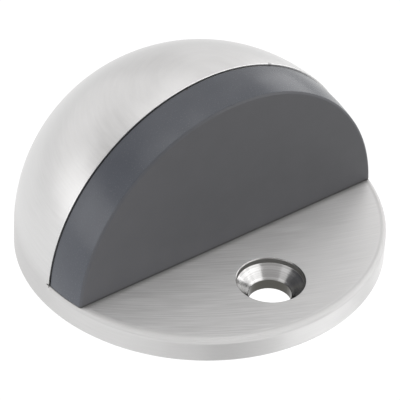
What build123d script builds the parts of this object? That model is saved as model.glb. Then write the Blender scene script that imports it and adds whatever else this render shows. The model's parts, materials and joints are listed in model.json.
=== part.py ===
from build123d import *
from math import radians, sqrt, tan
import os

# Half-dome floor door stop: a cast metal body with a push-in rubber bumper.
# Millimetres, +Z up. The origin is the centre of the foot's underside.
# The door arrives from the -Y side and meets the rubber. The dome stands on the +Y side.

# Cast body
foot_diameter = 45.0
overall_height = 25.0
plate_thickness = 3.5  # the flat shelf in front of the bumper
casting_wall = 2.6  # the dome's shell, and the web that the bumper leans on
core_corner_break = 1.2  # inside corner between the web and the shell
foot_edge_break = 0.3
plate_edge_break = 0.4
dome_edge_break = 0.05  # rim of the dome's cut face
seat_relief_depth = 0.35  # undercut in the corner where the bumper seats
seat_relief_height = 0.2

# Countersunk screw hole through the plate
screw_hole_diameter = 5.2
screw_head_diameter = 8.2
screw_head_land = 0.7  # straight wall above the cone
countersink_angle = 90.0
hole_edge_break = 0.1

# Rubber bumper
bumper_thickness = 5.5
bumper_set_in = 0.22  # how far the rubber's skin lies below the dome's skin at the seam
bumper_lead = 0.6  # how far the ball of the rubber's skin lies in front of the dome's ball
bumper_front_break = 0.2
bumper_back_break = 0.15

# Barbed tongue moulded on the bumper's back, which snaps through a slot in the web
tongue_width = 16.0
tongue_thickness = 3.2
tongue_rise = 8.0  # middle of the tongue above the plate
tongue_clearance = 0.1  # all round, in the slot
barb_thickness = 5.2
barb_tip_thickness = 1.8
barb_length = 3.4

# Worked out from the sizes above
foot_radius = foot_diameter / 2
dome_rise = overall_height - plate_thickness
dome_radius = (foot_radius**2 + dome_rise**2) / (2 * dome_rise)  # a ball through the foot's rim
dome_centre_z = overall_height - dome_radius
dome_axis = Axis((0, 0, dome_centre_z), (0, 1, 0))
hole_y = -(bumper_thickness + foot_radius) / 2  # the middle of the free shelf
tongue_place = Pos(0, 0, plate_thickness + tongue_rise)


def ball_section(radius, y_near, y_far, centre_y=0.0):
    """Half section of a ball between two planes across Y, level with the dome's centre."""
    band = Pos(0, y_near) * Rectangle(radius, y_far - y_near, align=(Align.MIN, Align.MIN))
    return Pos(0, 0, dome_centre_z) * (Pos(0, centre_y) * Circle(radius) & band)


def broken(section, end, size):
    """The section with its outer corner broken at the near (0) or far (-1) plane."""
    corner = section.vertices().group_by(Axis.Y)[end].sort_by(Axis.X)[-1]
    return chamfer(corner, size)


def above(solid, height):
    return split(solid, bisect_by=Plane.XY.offset(height), keep=Keep.TOP)


def foot_disc(*rim):
    """Round foot, turned from a half section whose top edge follows the points of the rim."""
    edge = foot_edge_break
    outline = Polyline(
        (0, 0),
        (foot_radius - edge, 0),
        (foot_radius, edge),
        *rim,
        (0, plate_thickness),
        close=True,
    )
    return revolve(Plane.XZ * make_face(outline), Axis.Z)


def foot():
    """The foot's top edge is broken in two steps in front, and runs into the dome behind."""
    step = plate_edge_break * (1 - sqrt(0.5))  # halfway point of a round of the same size
    front_rim = [
        (foot_radius, plate_thickness - plate_edge_break),
        (foot_radius - step, plate_thickness - step),
        (foot_radius - plate_edge_break, plate_thickness),
    ]
    front_half = split(foot_disc(*front_rim), bisect_by=Plane.XZ, keep=Keep.TOP)
    back_half = split(foot_disc((foot_radius, plate_thickness)), bisect_by=Plane.XZ, keep=Keep.BOTTOM)
    return front_half + back_half


def half_dome():
    section = ball_section(dome_radius, 0, dome_radius)
    section = broken(section, 0, dome_edge_break)
    return above(revolve(section, dome_axis), plate_thickness)


def dome_core():
    """The hollow behind the web, open at the underside."""
    core_radius = dome_radius - casting_wall
    section = ball_section(core_radius, casting_wall, core_radius)
    section = broken(section, 0, core_corner_break)
    crown = above(revolve(section, dome_axis), dome_centre_z)
    skirt = extrude(section + mirror(section, Plane.YZ), amount=overall_height, dir=(0, 0, -1))
    return crown + skirt


def screw_hole():
    """Bore, cone, straight land and broken mouth, cut as one turned form."""
    bore_radius = screw_hole_diameter / 2
    head_radius = screw_head_diameter / 2
    mouth_radius = head_radius + hole_edge_break
    land_z = plate_thickness - screw_head_land
    cone_z = land_z - (head_radius - bore_radius) / tan(radians(countersink_angle / 2))
    outline = Polyline(
        (0, 0),
        (bore_radius, 0),
        (bore_radius, cone_z),
        (head_radius, land_z),
        (head_radius, plate_thickness - hole_edge_break),
        (mouth_radius, plate_thickness),
        (0, plate_thickness),
        close=True,
    )
    return Pos(0, hole_y, 0) * revolve(Plane.XZ * make_face(outline), Axis.Z)


def seat_relief():
    """Thin undercut along the corner of the seat. It shows as a fine line at both ends."""
    size = (foot_diameter, seat_relief_depth, seat_relief_height)
    return Pos(0, 0, plate_thickness) * Box(*size, align=(Align.CENTER, Align.MIN, Align.MIN))


def tongue():
    """Shank and arrow-shaped barb, from the middle of the bumper to behind the web."""
    root_y = -bumper_thickness / 2
    tip_y = casting_wall + barb_length
    upper_side = [
        (root_y, tongue_thickness / 2),
        (casting_wall, tongue_thickness / 2),
        (casting_wall, barb_thickness / 2),
        (tip_y, barb_tip_thickness / 2),
    ]
    lower_side = [(y, -z) for y, z in reversed(upper_side)]
    outline = make_face(Polyline(*upper_side, *lower_side, close=True))
    return tongue_place * extrude(Plane.YZ * outline, amount=tongue_width / 2, both=True)


def tongue_slot():
    width = tongue_width + 2 * tongue_clearance
    height = tongue_thickness + 2 * tongue_clearance
    return tongue_place * Box(width, casting_wall, height, align=(Align.CENTER, Align.MIN, Align.CENTER))


def body_casting():
    body = foot() + half_dome()
    body -= dome_core()
    body -= seat_relief()
    body -= screw_hole()
    body -= tongue_slot()
    return body


def rubber_bumper():
    skin_radius = sqrt((dome_radius - bumper_set_in) ** 2 + bumper_lead**2)
    section = ball_section(skin_radius, -bumper_thickness, 0, centre_y=-bumper_lead)
    section = broken(section, 0, bumper_front_break)
    section = broken(section, -1, bumper_back_break)
    return above(revolve(section, dome_axis), plate_thickness) + tongue()


os.makedirs("parts", exist_ok=True)
export_step(body_casting(), "parts/body_casting.step")
export_step(rubber_bumper(), "parts/rubber_bumper.step")
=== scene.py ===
import json
import math
from collections import namedtuple
from types import SimpleNamespace

import bpy
from mathutils import Matrix, Vector


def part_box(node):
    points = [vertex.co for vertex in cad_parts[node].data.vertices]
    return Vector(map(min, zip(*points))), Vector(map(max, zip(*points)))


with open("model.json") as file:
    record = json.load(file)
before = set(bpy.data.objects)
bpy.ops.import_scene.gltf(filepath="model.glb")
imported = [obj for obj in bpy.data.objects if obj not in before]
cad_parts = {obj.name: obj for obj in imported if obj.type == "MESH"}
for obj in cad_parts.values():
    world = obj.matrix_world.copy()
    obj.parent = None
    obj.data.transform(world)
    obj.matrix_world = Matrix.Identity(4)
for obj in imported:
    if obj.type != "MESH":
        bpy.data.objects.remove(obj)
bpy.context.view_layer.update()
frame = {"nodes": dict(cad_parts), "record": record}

# Half-dome floor door stop: a satin metal casting and its grey rubber bumper.
# Lengths are in mm, angles in degrees and colours linear. The part faces -Y, where azimuth is 0.
# A value named zone, fade or spread holds the start and the end of a soft step.
MM = 0.001
WHITE = (1.0, 1.0, 1.0, 1.0)
UP = (0.0, 0.0, 1.0)
LEVEL = (1.0, 1.0, 0.0)  # keeps X and Y of a place and drops Z
WHOLE = (0.0, 1.0)
Noise = namedtuple("Noise", "Scale Detail Roughness")
Ring = namedtuple("Ring", "elevation step width height")

# Camera, fitted to the photo's view
CAMERA_AZIMUTH = -38.436
CAMERA_ELEVATION = 38.798
CAMERA_ROLL = 2.617
CAMERA_DISTANCE = 526.5
CAMERA_AIM = (-0.909, -0.921, 7.387)
CAMERA_LENS = 394.53
CAMERA_SENSOR = 36.0
CAMERA_NEAR = 10.0
CAMERA_FAR = 10000.0

# Studio: a light table below that dims away from the part, and a white tent around it
FLOOR_RADIUS = 2000.0
FLOOR_CORNERS = 96
FLOOR_DROP = 0.02  # below the foot, so that the two don't share a plane
FLOOR_FADE = (50.0, 150.0)  # from the middle
FLOOR_LEVELS = (1.049, 0.860)  # near and far
FLOOR_NOISE = Noise(0.02, 2.0, 0.5)
FLOOR_UNEVEN = (1.0, 1.03)
TENT_COLOUR = (1.0, 0.985, 0.98, 1.0)
TENT_LEVEL = 0.5

# Soft boxes stand in rings. A ring has its elevation, the step from box to box, and the boxes' size.
LIGHT_DISTANCE = 450.0
LIGHT_AIM = (0.0, 0.0, 8.0)
LOW_RING = Ring(elevation=13.0, step=22.5, width=185.0, height=210.0)
MID_RING = Ring(elevation=40.0, step=30.0, width=210.0, height=230.0)
HIGH_RING = Ring(elevation=66.0, step=60.0, width=230.0, height=200.0)
OVERHEAD = Ring(elevation=90.0, step=0.0, width=190.0, height=190.0)
# Arcs of a ring that are lit: name, ring, azimuth of the first box, number of boxes, brightness
LIGHT_ARCS = (
    ("low_left", LOW_RING, -112.5, 3, 1.6),
    ("low_front_left", LOW_RING, -45.0, 1, 1.0),
    ("low_front", LOW_RING, 0.0, 1, 0.7),
    ("low_front_right", LOW_RING, 22.5, 2, 2.35),
    ("low_right", LOW_RING, 67.5, 1, 0.9),
    ("low_far_right", LOW_RING, 90.0, 2, 1.6),
    ("low_back_right", LOW_RING, 135.0, 1, 0.5),
    ("low_back", LOW_RING, 157.5, 1, 0.35),
    ("low_back_left", LOW_RING, 180.0, 2, 0.55),
    ("low_far_left", LOW_RING, -135.0, 1, 0.9),
    ("mid_front_right", MID_RING, 23.0, 1, 1.05),
    ("mid_right", MID_RING, 53.0, 2, 0.85),
    ("mid_back", MID_RING, 113.0, 3, 0.5),
    ("mid_back_left", MID_RING, -157.0, 1, 0.35),
    ("mid_left", MID_RING, -97.0, 1, 0.3),
    ("high_right", HIGH_RING, 70.0, 1, 0.5),
    ("high_back", HIGH_RING, 130.0, 2, 0.8),
    ("high_left", HIGH_RING, -110.0, 1, 1.1),
    ("overhead", OVERHEAD, 0.0, 1, 1.6),
)

# Sizes of the part that the finishes follow
casting_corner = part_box("body_casting")[1]
bumper_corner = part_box("rubber_bumper")[0]
screw_hole = next(mount for mount in frame["record"]["mounts"] if mount["name"] == "screw_hole")
FOOT_RADIUS = casting_corner.x / MM
HEIGHT = casting_corner.z / MM
PLATE_TOP = bumper_corner.z / MM  # the bumper stands on the plate
DOME_RISE = HEIGHT - PLATE_TOP
DOME_RADIUS = (FOOT_RADIUS**2 + DOME_RISE**2) / (2 * DOME_RISE)
DOME_CENTRE = (0.0, 0.0, HEIGHT - DOME_RADIUS)
TO_HOLE_AXIS = (0.0, -screw_hole["pos_m"][1] / MM, 0.0)  # moves the hole's axis to the origin
BORE_RADIUS = screw_hole["dims"]["r_mm"]
BORE_TOP = screw_hole["dims"]["length_mm"]
LAND_RADIUS = 4.1  # straight wall above the countersink's cone
MOUTH_RADIUS = 4.2
SHELL_INSIDE = 20.6  # from the dome's centre, between the inner and the outer skin

# Where the casting's finishes lie
HOLE_ZONE = (MOUTH_RADIUS + 0.05, MOUTH_RADIUS - 0.05)
LOW_ZONE = (PLATE_TOP + 0.6, PLATE_TOP + 0.3)
UPWARD_ZONE = (0.5, 0.95)  # Z of the direction that the surface faces
SHELL_ZONE = (SHELL_INSIDE, SHELL_INSIDE - 0.4)
BACK_ZONE = (0.4, 0.6)  # along Y
EDGE_ZONE = (FOOT_RADIUS - 0.9, FOOT_RADIUS - 0.6)
EDGE_HEIGHT_ZONE = (PLATE_TOP - 0.8, PLATE_TOP - 0.5)
FRONT_ZONE = (0.2, -0.2)  # along Y
BORE_ZONE = (BORE_RADIUS + 0.08, BORE_RADIUS + 0.02)
BORE_HEIGHT_ZONE = (BORE_TOP + 0.06, BORE_TOP - 0.02)
LAND_ZONE = (LAND_RADIUS - 0.06, LAND_RADIUS - 0.02)
MOUTH_HEIGHT_ZONE = (PLATE_TOP - 0.16, PLATE_TOP - 0.08)
LAND_HEIGHT_ZONE = (PLATE_TOP - 0.08, PLATE_TOP - 0.16)

# Grain: brush lines on the plate, turned rings in the hole, satin on the wall, cast skin inside
BRUSH_ANGLE = -26.0
BRUSH_BOW = 0.006
BRUSH_STRETCH = 0.03
BRUSH_FADE = (-8.0, 5.0)  # along X
BRUSH_CONTRAST = (4.6, 2.2)
BRUSH_NOISE = Noise(5.0, 2.0, 0.6)
BRUSH_BUMP = 0.003
RING_NOISE = Noise(5.0, 2.0, 0.6)
RING_BUMP = 0.0025
SATIN_STRETCH = (0.15, 0.15, 2.5)
SATIN_NOISE = Noise(1.6, 3.0, 0.6)
SATIN_BUMP = 0.0012
CAST_NOISE = Noise(0.12, 2.0, 0.5)
CAST_BUMP = 0.05
NOISE_MIDDLE = 0.5
NOISE_SPREAD = (0.3, 0.7)  # most of a noise's values lie between these

# Colour of the casting
STEEL_TONES = ((0.585, 0.582, 0.58, 1.0), (0.685, 0.682, 0.68, 1.0))
# Colour of the painted shade in the hole, also the darker tone of the mouth and the cone's rings
HOLE_SHADE_AND_RING_TONE = (0.09, 0.088, 0.08, 1.0)
LAND_SHADE = 0.85
MOUTH_DARKENING = 0.45
RING_DULL = 0.2
RING_DULL_SPREAD = (0.65, 0.35)

# Roughness of the casting, and how far its highlights stretch across the grain
WALL_ROUGHNESS = (0.30, 0.36)
PLATE_ROUGHNESS = (0.44, 0.54)
HOLE_ROUGHNESS = (0.16, 0.23)
CAST_ROUGHNESS = (0.5, 0.6)
LAND_EXTRA_ROUGHNESS = 0.4
RIM_EXTRA_ROUGHNESS = 0.14
RIM_ROUGHNESS_FADE = (3.0, 7.0)  # along Z
EDGE_ROUGHNESS = 0.77
RIM_STRETCH = 0.95
RIM_STRETCH_FADE = (3.0, 8.0)  # along Z
PLATE_STRETCH = 0.85
HOLE_STRETCH = 0.2

# Soft edges of the casting: wide on the foot's rim, fine at the hole and on the dome
RIM_EDGE = 0.25
FINE_EDGE = 0.06
HOLE_EDGE_FADE = (MOUTH_RADIUS + 0.4, MOUTH_RADIUS + 1.2)
DOME_EDGE_FADE = (PLATE_TOP + 0.3, PLATE_TOP + 0.8)
EDGE_SAMPLES = 8

# Painted shade in the casting's seams, but not along the floor
SEAM_REACH = 0.9
SEAM_SAMPLES = 8
SEAM_SPREAD = (1.0, 0.5)  # from open to closed in
SEAM_SHADE = (0.12, 0.118, 0.115, 1.0)
SEAM_DEPTHS = (0.65, 0.1)  # at the plate, on the dome
SEAM_FADE = (PLATE_TOP + 0.8, PLATE_TOP + 2.0)
SEAM_FLOOR_ZONE = (1.5, 2.5)  # along Z

# Rubber
RUBBER_TONES = ((0.0575, 0.058, 0.063, 1.0), (0.062, 0.0625, 0.068, 1.0))
RUBBER_MOTTLE = Noise(0.35, 3.0, 0.55)
RUBBER_GRAIN = Noise(6.0, 3.0, 0.6)
RUBBER_BUMP = 0.0003
RUBBER_UPHILL = (0.32, 0.0, 0.44)  # the painted light and shade fade this way
# Painted light and shade on the rubber: lighter low down and near the foot, darker the other way
RUBBER_PAINTED_LIGHTING_FADE = (-4.0, 10.0)
RUBBER_PAINTED_LIGHTING = (1.09, 0.88)
RUBBER_FOOT_FADE = (PLATE_TOP, PLATE_TOP + 7.0)
RUBBER_FOOT_PAINTED_LIGHT = 1.13
SKIN_ZONE = (-0.9, -0.6)  # Y of the direction that the surface faces
# Painted sheen: tints the rubber's skin bluer and brighter
SKIN_PAINTED_SHEEN = (0.98, 1.06, 1.17, 1.0)
FACE_ROUGHNESS = 0.55
SKIN_ROUGHNESS = 0.25
GRAIN_ROUGHNESS = (-0.03, 0.03)
RUBBER_SHINE = 0.45
RUBBER_EDGE = 0.2
RUBBER_EDGE_SAMPLES = 6
# Painted shade in the rubber's seams, and a painted shadow along the face's foot
RUBBER_SEAM_SHADE = (0.032, 0.031, 0.03, 1.0)
RUBBER_SEAM_REACH = 0.4
RUBBER_SEAM_SPREAD = (0.9, 0.6)  # from open to closed in
RUBBER_SEAM_FADE = (-5.0, 2.0)  # along X
RUBBER_SEAM_DEPTHS = (0.5, 0.05)
FOOT_SHADOW_ZONE = (PLATE_TOP + 0.35, PLATE_TOP + 0.1)
FOOT_SHADOW_DEPTH = 0.7

# Two small marks at the seam: a dark pit in the rubber and a dull burr on the dome's edge
MARK_BLUR = 0.2  # share of the radius
PIT_PLACE = (-3.05, -0.11, 24.57)
PIT_RADIUS = 0.22
PIT_DARK = (0.025, 0.024, 0.024, 1.0)
BURR_PLACE = (9.52, 0.0, 22.89)
BURR_RADIUS = 0.3
BURR_DULL = (0.36, 0.36, 0.36, 1.0)

# Sockets of a mix node for each kind of value: first, second, result
MIX_SOCKETS = {"FLOAT": (2, 3, 0), "VECTOR": (4, 5, 1), "RGBA": (6, 7, 2)}
NUMBER_RESULTS = ("LENGTH", "DOT_PRODUCT", "DISTANCE")


def bearing(azimuth, elevation):
    """Direction from the part towards a light or the camera."""
    turn = math.radians(azimuth)
    rise = math.radians(elevation)
    return Vector((math.sin(turn) * math.cos(rise), -math.cos(turn) * math.cos(rise), math.sin(rise)))


class Nodes:
    """A material's node tree, with short ways to add and join nodes."""

    def __init__(self, name):
        self.material = bpy.data.materials.new(name)
        self.material.use_nodes = True
        self.tree = self.material.node_tree
        self.tree.nodes.clear()

    def feed(self, socket, value):
        """Joins the socket to another node's output, or sets its own value."""
        if isinstance(value, bpy.types.NodeSocket):
            self.tree.links.new(value, socket)
        else:
            socket.default_value = value

    def add(self, kind, settings=None, **inputs):
        """A new node. Inputs have the node's own names, with _ for a space."""
        node = self.tree.nodes.new("ShaderNode" + kind)
        for key, value in (settings or {}).items():
            setattr(node, key, value)
        for key, value in inputs.items():
            self.feed(node.inputs[key.replace("_", " ")], value)
        return node

    def math(self, operation, *values):
        node = self.add("Math", {"operation": operation})
        for socket, value in zip(node.inputs, values):
            self.feed(socket, value)
        return node.outputs["Value"]

    def product(self, first, *others):
        for other in others:
            first = self.math("MULTIPLY", first, other)
        return first

    def outside(self, mask):
        """The rest of the surface, where the mask isn't."""
        return self.math("SUBTRACT", 1.0, mask)

    def vector(self, operation, *values):
        node = self.add("VectorMath", {"operation": operation})
        for socket, value in zip(node.inputs, values):
            self.feed(socket, value)
        return node.outputs["Value" if operation in NUMBER_RESULTS else "Vector"]

    def scaled(self, vector, factor):
        node = self.add("VectorMath", {"operation": "SCALE"}, Scale=factor)
        self.feed(node.inputs[0], vector)
        return node.outputs["Vector"]

    def parts(self, vector):
        """X, Y and Z of a vector."""
        outputs = self.add("SeparateXYZ", Vector=vector).outputs
        return outputs["X"], outputs["Y"], outputs["Z"]

    def position(self):
        """Place on the object in mm."""
        return self.scaled(self.add("TexCoord").outputs["Object"], 1.0 / MM)

    def facing(self):
        """X, Y and Z of the direction that the surface faces."""
        return self.parts(self.add("NewGeometry").outputs["Normal"])

    def step(self, value, span, levels=WHOLE):
        """Soft step: the first level up to the span's start, the second from its end on."""
        ends = {"From_Min": span[0], "From_Max": span[1], "To_Min": levels[0], "To_Max": levels[1]}
        node = self.add("MapRange", {"interpolation_type": "SMOOTHSTEP"}, Value=value, **ends)
        return node.outputs["Result"]

    def mix(self, kind, mask, first, second, blend="MIX"):
        """The first value where the mask is 0, the second where it is 1."""
        node = self.add("Mix", {"data_type": kind, "blend_type": blend}, Factor=mask)
        first_socket, second_socket, result = MIX_SOCKETS[kind]
        self.feed(node.inputs[first_socket], first)
        self.feed(node.inputs[second_socket], second)
        return node.outputs[result]

    def noise(self, vector, pattern):
        return self.add("TexNoise", Vector=vector, **pattern._asdict()).outputs["Fac"]

    def spread(self, noise, levels):
        """A noise as a value between two levels."""
        return self.step(noise, NOISE_SPREAD, levels)

    def ramp(self, value, span, colours):
        """Colour that goes straight from the first to the second over the span."""
        node = self.add("ValToRGB", Fac=value)
        for element, end, colour in zip(node.color_ramp.elements, span, colours):
            element.position = end
            element.color = colour
        return node.outputs["Color"]

    def openness(self, reach):
        """1 on an open surface, less where something stands within reach."""
        node = self.add("AmbientOcclusion", {"samples": SEAM_SAMPLES}, Distance=reach * MM)
        return node.outputs["AO"]

    def mark(self, place, centre, radius):
        """Mask of a small round mark with a soft edge."""
        from_centre = self.vector("DISTANCE", place, centre)
        return self.step(from_centre, (radius * (1 + MARK_BLUR), radius * (1 - MARK_BLUR)))

    def surface(self, height, edge, samples):
        """Surface direction, with edges softened over a radius in metres and bumps of a height in mm."""
        soft_edge = self.add("Bevel", {"samples": samples}, Radius=edge).outputs["Normal"]
        bump = self.add("Bump", Strength=1.0, Distance=MM, Height=height, Normal=soft_edge)
        return bump.outputs["Normal"]

    def finish(self, shader):
        output = self.add("OutputMaterial")
        self.tree.links.new(shader.outputs[0], output.inputs["Surface"])
        return self.material


def steel_zones(n):
    """Places on the casting, and masks of where each finish lies."""
    place = n.position()
    x, y, z = n.parts(place)
    facing_up = n.facing()[2]
    from_hole = n.vector("ADD", place, TO_HOLE_AXIS)
    spoke = n.vector("MULTIPLY", from_hole, LEVEL)
    hole_distance = n.vector("LENGTH", spoke)
    foot_distance = n.vector("LENGTH", n.vector("MULTIPLY", place, LEVEL))
    dome_distance = n.vector("DISTANCE", place, DOME_CENTRE)
    low = n.step(z, LOW_ZONE)
    hole = n.step(hole_distance, HOLE_ZONE)
    plate = n.product(n.step(facing_up, UPWARD_ZONE), low)
    cast = n.product(n.step(dome_distance, SHELL_ZONE), n.step(y, BACK_ZONE))
    edge = n.product(
        n.step(foot_distance, EDGE_ZONE), low, n.step(z, EDGE_HEIGHT_ZONE), n.step(y, FRONT_ZONE)
    )
    bore = n.product(n.step(hole_distance, BORE_ZONE), n.step(z, BORE_HEIGHT_ZONE))
    land = n.product(n.step(hole_distance, LAND_ZONE), hole, n.step(z, LAND_HEIGHT_ZONE))
    mouth = n.product(hole, n.step(z, MOUTH_HEIGHT_ZONE))
    return SimpleNamespace(
        place=place, x=x, z=z, from_hole=from_hole, spoke=spoke, hole_distance=hole_distance,
        hole=hole, plate=plate, cast=cast, edge=edge, bore=bore, land=land, mouth=mouth,
    )


def by_finish(n, zones, kind, wall, plate, hole, cast):
    """One value for each finish, chosen by place."""
    value = n.mix(kind, zones.plate, wall, plate)
    value = n.mix(kind, zones.hole, value, hole)
    return n.mix(kind, zones.cast, value, cast)


def steel_grain(n, zones):
    """The four finishes' patterns. The brush lines run long across the plate and bow slightly."""
    turn = math.radians(BRUSH_ANGLE)
    lengthwise = (math.cos(turn), math.sin(turn), 0.0)
    crosswise = (-math.sin(turn), math.cos(turn), 0.0)
    along = n.vector("DOT_PRODUCT", zones.from_hole, lengthwise)
    across = n.vector("DOT_PRODUCT", zones.from_hole, crosswise)
    bowed = n.math("SUBTRACT", across, n.product(along, along, BRUSH_BOW))
    streak = n.add("CombineXYZ", X=n.product(along, BRUSH_STRETCH), Y=bowed).outputs["Vector"]
    turned = n.add("CombineXYZ", X=zones.hole_distance, Y=zones.z).outputs["Vector"]
    return SimpleNamespace(
        crosswise=crosswise,
        lines=n.noise(streak, BRUSH_NOISE),
        rings=n.noise(turned, RING_NOISE),
        satin=n.noise(n.vector("MULTIPLY", zones.place, SATIN_STRETCH), SATIN_NOISE),
        cast=n.noise(zones.place, CAST_NOISE),
    )


def steel_colour(n, zones, grain):
    """Tones of the grain, with painted shade in the seams, a burr on the dome's edge and painted shade
    in the hole.
    """
    contrast = n.product(n.step(zones.x, BRUSH_FADE, BRUSH_CONTRAST), n.outside(zones.edge))
    strong_lines = n.product(n.math("SUBTRACT", grain.lines, NOISE_MIDDLE), contrast)
    strong_lines = n.math("ADD", strong_lines, NOISE_MIDDLE)
    tone = by_finish(n, zones, "FLOAT", grain.satin, strong_lines, grain.rings, grain.cast)
    colour = n.ramp(tone, WHOLE, STEEL_TONES)

    # Painted shade: darkens the casting where the seams close in
    seam_shade = n.product(
        n.step(n.openness(SEAM_REACH), SEAM_SPREAD),
        n.step(zones.z, SEAM_FADE, SEAM_DEPTHS),
        n.step(zones.z, SEAM_FLOOR_ZONE),
        n.outside(zones.hole),
    )
    colour = n.mix("RGBA", seam_shade, colour, SEAM_SHADE)
    colour = n.mix("RGBA", n.mark(zones.place, BURR_PLACE, BURR_RADIUS), colour, BURR_DULL)

    # Painted shade darkens the bore and the land above the cone, the mouth is darker too, and the cone's
    # rings are a little darker as grain
    hole_shade = n.math("ADD", zones.bore, n.product(zones.land, LAND_SHADE))
    hole_shade = n.math("ADD", hole_shade, n.product(zones.mouth, MOUTH_DARKENING))
    dull_rings = n.product(zones.hole, n.step(grain.rings, RING_DULL_SPREAD, (0.0, RING_DULL)))
    return n.mix("RGBA", n.math("MAXIMUM", hole_shade, dull_rings), colour, HOLE_SHADE_AND_RING_TONE)


def steel_roughness(n, zones, grain):
    """Satin wall, rougher at the foot's rim, a brushed plate, a smooth cone and a worn edge."""
    rim_extra = n.step(zones.z, RIM_ROUGHNESS_FADE, (RIM_EXTRA_ROUGHNESS, 0.0))
    wall = n.math("ADD", n.spread(grain.satin, WALL_ROUGHNESS), rim_extra)
    plate = n.spread(grain.lines, PLATE_ROUGHNESS)
    land_extra = n.product(zones.land, LAND_EXTRA_ROUGHNESS)
    hole = n.math("ADD", n.spread(grain.rings, HOLE_ROUGHNESS), land_extra)
    cast = n.spread(grain.cast, CAST_ROUGHNESS)
    roughness = by_finish(n, zones, "FLOAT", wall, plate, hole, cast)
    return n.mix("FLOAT", zones.edge, roughness, EDGE_ROUGHNESS)


def steel_stretch(n, zones):
    """How far highlights stretch across the grain: most on the foot's rim and the plate."""
    rim = n.step(zones.z, RIM_STRETCH_FADE, (RIM_STRETCH, 0.0))
    stretch = by_finish(n, zones, "FLOAT", rim, PLATE_STRETCH, HOLE_STRETCH, 0.0)
    return n.product(stretch, n.outside(zones.edge))


def steel_surface(n, zones, grain):
    """Fine relief of each finish over softened edges."""
    height = by_finish(
        n,
        zones,
        "FLOAT",
        n.product(grain.satin, SATIN_BUMP),
        n.product(grain.lines, BRUSH_BUMP),
        n.product(grain.rings, RING_BUMP),
        n.product(grain.cast, CAST_BUMP),
    )
    edge = n.step(zones.hole_distance, HOLE_EDGE_FADE, (FINE_EDGE * MM, RIM_EDGE * MM))
    edge = n.product(edge, n.step(zones.z, DOME_EDGE_FADE, (1.0, FINE_EDGE / RIM_EDGE)))
    return n.surface(height, edge, EDGE_SAMPLES)


def steel():
    """Satin metal of the casting."""
    n = Nodes("satin_steel_look")
    zones = steel_zones(n)
    grain = steel_grain(n, zones)
    shader = n.add(
        "BsdfPrincipled",
        Base_Color=steel_colour(n, zones, grain),
        Metallic=1.0,
        Roughness=steel_roughness(n, zones, grain),
        Anisotropic=steel_stretch(n, zones),
        Tangent=by_finish(n, zones, "VECTOR", UP, grain.crosswise, zones.spoke, UP),
        Normal=steel_surface(n, zones, grain),
    )
    return n.finish(shader)


def rubber_colour(n, place, on_skin):
    """Mottled grey, painted lighter low down, a skin tinted bluer as painted sheen, and painted shade in
    the seams and along the foot.
    """
    x, _, z = n.parts(place)
    tone = n.ramp(n.noise(place, RUBBER_MOTTLE), NOISE_SPREAD, RUBBER_TONES)
    # Painted light and shade, lighter low down and near the foot
    uphill = n.vector("DOT_PRODUCT", place, RUBBER_UPHILL)
    painted_lighting = n.step(uphill, RUBBER_PAINTED_LIGHTING_FADE, RUBBER_PAINTED_LIGHTING)
    painted_lighting = n.product(painted_lighting, n.step(z, RUBBER_FOOT_FADE, (RUBBER_FOOT_PAINTED_LIGHT, 1.0)))
    # Painted sheen tints the skin bluer and brighter
    colour = n.mix("RGBA", on_skin, n.scaled(tone, painted_lighting), SKIN_PAINTED_SHEEN, "MULTIPLY")

    # Painted shade in the seams, and a painted shadow along the foot of the face
    seam = n.step(n.openness(RUBBER_SEAM_REACH), RUBBER_SEAM_SPREAD)
    seam = n.product(seam, n.step(x, RUBBER_SEAM_FADE, RUBBER_SEAM_DEPTHS))
    foot_shadow = n.product(n.step(z, FOOT_SHADOW_ZONE, (0.0, FOOT_SHADOW_DEPTH)), n.outside(on_skin))
    colour = n.mix("RGBA", n.math("MAXIMUM", seam, foot_shadow), colour, RUBBER_SEAM_SHADE)
    return n.mix("RGBA", n.mark(place, PIT_PLACE, PIT_RADIUS), colour, PIT_DARK)


def rubber():
    """Grey rubber with a matt face and a smoother skin."""
    n = Nodes("grey_rubber_look")
    place = n.position()
    on_skin = n.step(n.facing()[1], SKIN_ZONE)
    grain = n.noise(place, RUBBER_GRAIN)
    roughness = n.step(on_skin, WHOLE, (FACE_ROUGHNESS, SKIN_ROUGHNESS))
    shader = n.add(
        "BsdfPrincipled",
        Base_Color=rubber_colour(n, place, on_skin),
        Roughness=n.math("ADD", roughness, n.spread(grain, GRAIN_ROUGHNESS)),
        Specular_IOR_Level=RUBBER_SHINE,
        Normal=n.surface(n.product(grain, RUBBER_BUMP), RUBBER_EDGE * MM, RUBBER_EDGE_SAMPLES),
    )
    return n.finish(shader)


def light_table():
    """White floor that glows, brightest around the part."""
    n = Nodes("white_light_table")
    place = n.position()
    level = n.step(n.vector("LENGTH", place), FLOOR_FADE, FLOOR_LEVELS)
    level = n.product(level, n.spread(n.noise(place, FLOOR_NOISE), FLOOR_UNEVEN))
    return n.finish(n.add("Emission", Color=WHITE, Strength=level))


def dress(node, look):
    """Gives a node its look in its first slot."""
    piece = frame["nodes"][node]
    piece.material_slots[0].material = look


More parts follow.
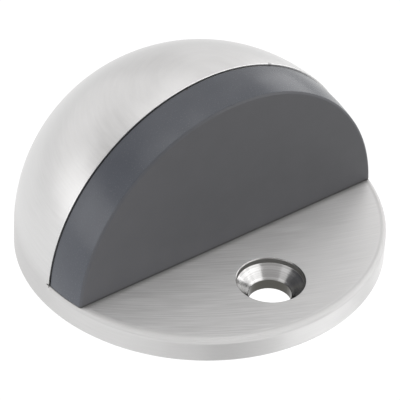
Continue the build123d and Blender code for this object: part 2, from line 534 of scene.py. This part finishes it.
def add_floor():
    bpy.ops.mesh.primitive_circle_add(
        vertices=FLOOR_CORNERS,
        radius=FLOOR_RADIUS * MM,
        fill_type="NGON",
        location=(0, 0, -FLOOR_DROP * MM),
    )
    floor = bpy.context.object
    floor.name = "floor"
    floor.data.materials.append(light_table())


def add_tent():
    world = bpy.data.worlds.new("white_tent")
    bpy.context.scene.world = world
    world.use_nodes = True
    background = world.node_tree.nodes["Background"]
    background.inputs["Color"].default_value = TENT_COLOUR
    background.inputs["Strength"].default_value = TENT_LEVEL


def add_light(name, ring, azimuth, brightness):
    data = bpy.data.lights.new(name, "AREA")
    data.shape = "RECTANGLE"
    data.size = ring.width * MM
    data.size_y = ring.height * MM
    data.energy = brightness * math.pi * data.size * data.size_y
    light = bpy.data.objects.new(name, data)
    towards = bearing(azimuth, ring.elevation)
    light.location = (Vector(LIGHT_AIM) + towards * LIGHT_DISTANCE) * MM
    light.rotation_euler = towards.to_track_quat("Z", "Y").to_euler()
    bpy.context.scene.collection.objects.link(light)


def add_lights():
    for name, ring, first_azimuth, count, brightness in LIGHT_ARCS:
        for index in range(count):
            add_light(f"{name}_{index}", ring, first_azimuth + index * ring.step, brightness)


def add_camera():
    data = bpy.data.cameras.new("camera")
    data.lens = CAMERA_LENS
    data.sensor_width = CAMERA_SENSOR
    data.clip_start = CAMERA_NEAR * MM
    data.clip_end = CAMERA_FAR * MM
    camera = bpy.data.objects.new("camera", data)
    back = bearing(CAMERA_AZIMUTH, CAMERA_ELEVATION)
    right = Vector(UP).cross(back).normalized()
    axes = Matrix((right, back.cross(right), back)).transposed()
    axes = axes @ Matrix.Rotation(math.radians(CAMERA_ROLL), 3, "Z")
    place = (Vector(CAMERA_AIM) + back * CAMERA_DISTANCE) * MM
    camera.matrix_world = Matrix.Translation(place) @ axes.to_4x4()
    bpy.context.scene.collection.objects.link(camera)
    bpy.context.scene.camera = camera


dress("body_casting", steel())
dress("rubber_bumper", rubber())
add_floor()
add_tent()
add_lights()
add_camera()

scene = bpy.context.scene
scene.view_settings.view_transform = "Standard"
scene.view_settings.look = "None"
